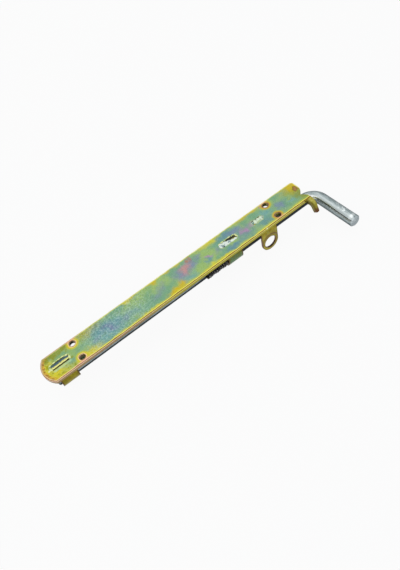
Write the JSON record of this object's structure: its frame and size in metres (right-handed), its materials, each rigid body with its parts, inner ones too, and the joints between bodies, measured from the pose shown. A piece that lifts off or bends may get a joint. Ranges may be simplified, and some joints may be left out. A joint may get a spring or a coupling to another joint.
{
  "type": "spring door bolt",
  "caption": "Flat plate bolt with a sprung round rod in two strap guides, a bent handle, a catch prong and a padlock eye, for screwing to a door",
  "frame": {"origin": "centre of the four screw holes, on the face that is screwed down", "axes": "+X along the bolt from its tip to its handle, +Z out of the screwed face, the bolt below it; the handle and the padlock eye on the -Y side"},
  "size_m": [0.3317, 0.0742, 0.0317],
  "materials": {
    "yellow_zinc_plate": "yellow passivated zinc, iridescent, satin",
    "yellow_zinc_strap": "yellow passivated zinc, satin",
    "white_zinc_bar": "bright zinc, scuffed",
    "dark_steel": "dark oiled spring steel"
  },
  "bodies": {
    "plate": {"base_plate": "yellow_zinc_plate", "front_guide": "yellow_zinc_strap", "rear_guide": "yellow_zinc_strap", "padlock_eye": "yellow_zinc_strap"},
    "spring_end": {"spring": "dark_steel"},
    "bolt": {"bolt_rod": "white_zinc_bar", "cross_pin": "dark_steel"}
  },
  "joints": [
    {"name": "bolt_slide", "type": "slide", "parent": "plate", "child": "spring_end", "axis": [-1, 0, 0], "range_m": [-0.004, 0.055], "deforming": ["spring"]},
    {"name": "handle_turn", "type": "hinge", "parent": "spring_end", "child": "bolt", "pos_m": [0, 0, -0.0177], "axis": [1, 0, 0], "range_deg": [-22, 202]}
  ]
}
